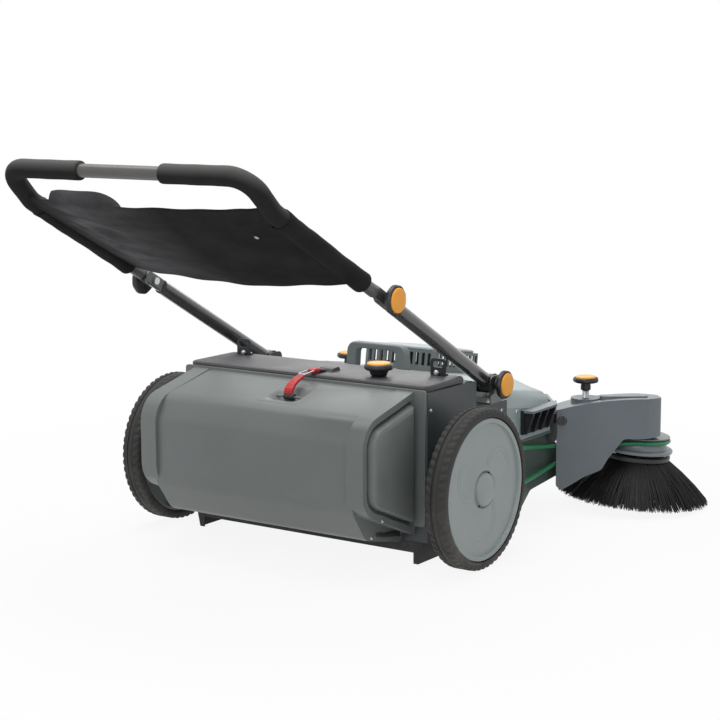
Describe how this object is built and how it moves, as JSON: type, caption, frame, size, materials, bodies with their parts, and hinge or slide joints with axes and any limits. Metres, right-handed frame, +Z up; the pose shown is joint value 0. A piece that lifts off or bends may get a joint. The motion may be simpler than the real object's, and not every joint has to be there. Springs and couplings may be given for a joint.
{
  "type": "manual floor sweeper",
  "caption": "Push floor sweeper with a gear-driven roller brush, belt-driven side brushes, lift-off rear hopper, front caster and a folding handle with a cloth panel",
  "frame": {"origin": "on the floor, under the middle of the machine's overall box", "axes": "+X is the machine's right, +Y is the way it is pushed (the side brushes are at +Y), +Z is up"},
  "size_m": [1.1283, 1.433, 0.8107],
  "materials": {
    "arm_plastic": "smooth blue-grey moulding",
    "black_cloth": "black woven cloth",
    "black_plastic": "black moulding",
    "bright_steel": "zinc plated steel",
    "bristles": "black bristles",
    "dark_plastic": "textured dark grey moulding",
    "deck_plastic": "textured warm grey moulding",
    "flap_rubber": "black rubber sheet",
    "frame_paint": "dark grey powder coat",
    "gear_nylon": "pale nylon",
    "green_belt": "green round belt",
    "grey_plastic": "textured mid grey moulding",
    "grip_foam": "black foam sleeve",
    "hood_plastic": "smooth grey-green moulding",
    "red_rubber": "red strap",
    "tyre_rubber": "black rubber tread",
    "wheel_plastic": "pale grey-green wheel moulding"
  },
  "bodies": {
    "chassis": {"main_housing": "dark_plastic", "deck_panel": "deck_plastic", "front_hood": "hood_plastic", "lower_body": "dark_plastic", "vent_box": "grey_plastic", "vent_lid": "hood_plastic", "carry_handle": "grey_plastic", "rubber_skirt": "flap_rubber", "caster_plate": "bright_steel", "tie_down_eye_right": "black_plastic", "stub_axle_right": "bright_steel", "handle_bracket_right": "bright_steel", "main_brush_bearing_right": "black_plastic", "arm_bracket_right": "black_plastic", "hinge_pin_right": "black_plastic", "belt_right": "green_belt", "tie_down_eye_left": "black_plastic", "stub_axle_left": "bright_steel", "handle_bracket_left": "bright_steel", "main_brush_bearing_left": "black_plastic", "arm_bracket_left": "black_plastic", "hinge_pin_left": "black_plastic", "belt_left": "green_belt"},
    "wheel_right": {"tyre_right": "tyre_rubber", "wheel_disc_right": "wheel_plastic", "drive_pulley_right": "black_plastic"},
    "wheel_left": {"tyre_left": "tyre_rubber", "wheel_disc_left": "wheel_plastic", "drive_pulley_left": "black_plastic", "wheel_gear": "gear_nylon"},
    "main_brush": {"main_brush_bristles": "bristles", "main_brush_shaft": "bright_steel", "main_brush_gear": "gear_nylon"},
    "height_knob": {"roller_knob": "black_plastic"},
    "hopper": {"hopper_shell": "grey_plastic", "latch_pin": "bright_steel"},
    "latch": {"latch_strap": "red_rubber"},
    "lower_handle": {"lower_tube_right": "frame_paint", "lower_tube_left": "frame_paint"},
    "folding_handle": {"upper_handle": "frame_paint", "foam_grip_right": "grip_foam", "foam_grip_left": "grip_foam", "cloth_panel": "black_cloth"},
    "pivot_knob_right": {"knob_pivot_right": "black_plastic"},
    "fold_knob_right": {"knob_fold_right": "black_plastic"},
    "brush_arm_right": {"arm_cover_right": "arm_plastic", "spindle_right": "bright_steel"},
    "side_brush_right": {"side_pulley_right": "arm_plastic", "side_bristles_right": "bristles"},
    "lift_knob_right": {"side_knob_right": "black_plastic"},
    "pivot_knob_left": {"knob_pivot_left": "black_plastic"},
    "fold_knob_left": {"knob_fold_left": "black_plastic"},
    "brush_arm_left": {"arm_cover_left": "arm_plastic", "spindle_left": "bright_steel"},
    "side_brush_left": {"side_pulley_left": "arm_plastic", "side_bristles_left": "bristles"},
    "lift_knob_left": {"side_knob_left": "black_plastic"},
    "caster_swivel": {"caster_fork": "bright_steel"},
    "caster_roller": {"caster_wheel": "tyre_rubber"}
  },
  "joints": [
    {"name": "wheel_right_spin", "type": "hinge", "parent": "chassis", "child": "wheel_right", "pos_m": [0.3791, -0.1135, 0.15939], "axis": [1, 0, 0], "continuous": true},
    {"name": "wheel_left_spin", "type": "hinge", "parent": "chassis", "child": "wheel_left", "pos_m": [-0.3791, -0.1135, 0.15939], "axis": [1, 0, 0], "continuous": true},
    {"name": "main_brush_spin", "type": "hinge", "parent": "chassis", "child": "main_brush", "pos_m": [0, -0.014, 0.11739], "axis": [1, 0, 0], "continuous": true},
    {"name": "height_knob_turn", "type": "hinge", "parent": "chassis", "child": "height_knob", "pos_m": [0.15, -0.1135, 0.361], "axis": [0, 0, 1], "range_deg": [0, 720]},
    {"name": "hopper_pull", "type": "slide", "parent": "chassis", "child": "hopper", "axis": [0, -1, 0], "range_m": [0, 0.25]},
    {"name": "latch_open", "type": "hinge", "parent": "hopper", "child": "latch", "pos_m": [0.026, -0.2475, 0.327], "axis": [1, 0, 0], "range_deg": [0, 110]},
    {"name": "handle_fold_lower", "type": "hinge", "parent": "chassis", "child": "lower_handle", "pos_m": [0, 0.0915, 0.33], "axis": [-1, 0, 0], "range_deg": [0, 95]},
    {"name": "handle_fold_upper", "type": "hinge", "parent": "lower_handle", "child": "folding_handle", "pos_m": [0, -0.2955, 0.5445], "axis": [-1, 0, 0], "range_deg": [0, 120]},
    {"name": "pivot_knob_right_turn", "type": "hinge", "parent": "chassis", "child": "pivot_knob_right", "pos_m": [0.3038, 0.0915, 0.33], "axis": [1, 0, 0], "range_deg": [0, 360]},
    {"name": "fold_knob_right_turn", "type": "hinge", "parent": "lower_handle", "child": "fold_knob_right", "pos_m": [0.29145, -0.2955, 0.5445], "axis": [1, 0, 0], "range_deg": [0, 360]},
    {"name": "pivot_knob_left_turn", "type": "hinge", "parent": "chassis", "child": "pivot_knob_left", "pos_m": [-0.3038, 0.0915, 0.33], "axis": [-1, 0, 0], "range_deg": [0, 360]},
    {"name": "fold_knob_left_turn", "type": "hinge", "parent": "lower_handle", "child": "fold_knob_left", "pos_m": [-0.29145, -0.2955, 0.5445], "axis": [-1, 0, 0], "range_deg": [0, 360]},
    {"name": "arm_right_lift", "type": "hinge", "parent": "chassis", "child": "brush_arm_right", "pos_m": [0.30695, 0.37321, 0.206], "axis": [0.5592, -0.829, 0], "range_deg": [0, 12], "deforming": ["belt_right"]},
    {"name": "side_brush_right_spin", "type": "hinge", "parent": "brush_arm_right", "child": "side_brush_right", "pos_m": [0.40457, 0.5532, 0.14931], "axis": [0.0714, 0.05, 0.9962], "continuous": true},
    {"name": "lift_knob_right_turn", "type": "hinge", "parent": "brush_arm_right", "child": "lift_knob_right", "pos_m": [0.32003, 0.45754, 0.27], "axis": [0, 0, 1], "range_deg": [0, 1080]},
    {"name": "arm_left_lift", "type": "hinge", "parent": "chassis", "child": "brush_arm_left", "pos_m": [-0.30695, 0.37321, 0.206], "axis": [0.5592, 0.829, 0], "range_deg": [0, 12], "deforming": ["belt_left"]},
    {"name": "side_brush_left_spin", "type": "hinge", "parent": "brush_arm_left", "child": "side_brush_left", "pos_m": [-0.40457, 0.5532, 0.14931], "axis": [-0.0714, 0.05, 0.9962], "continuous": true},
    {"name": "lift_knob_left_turn", "type": "hinge", "parent": "brush_arm_left", "child": "lift_knob_left", "pos_m": [-0.32003, 0.45754, 0.27], "axis": [0, 0, 1], "range_deg": [0, 1080]},
    {"name": "caster_swing", "type": "hinge", "parent": "chassis", "child": "caster_swivel", "pos_m": [0, 0.4315, 0.086], "axis": [0, 0, 1], "continuous": true},
    {"name": "caster_roll", "type": "hinge", "parent": "caster_swivel", "child": "caster_roller", "pos_m": [0, 0.4055, 0.03923], "axis": [1, 0, 0], "continuous": true}
  ],
  "couplings": [
    {"joint": "side_brush_right_spin", "follows": "wheel_right_spin", "ratio": -1.0294},
    {"joint": "side_brush_left_spin", "follows": "wheel_left_spin", "ratio": 1.0294},
    {"joint": "main_brush_spin", "follows": "wheel_left_spin", "ratio": -2.8571}
  ]
}
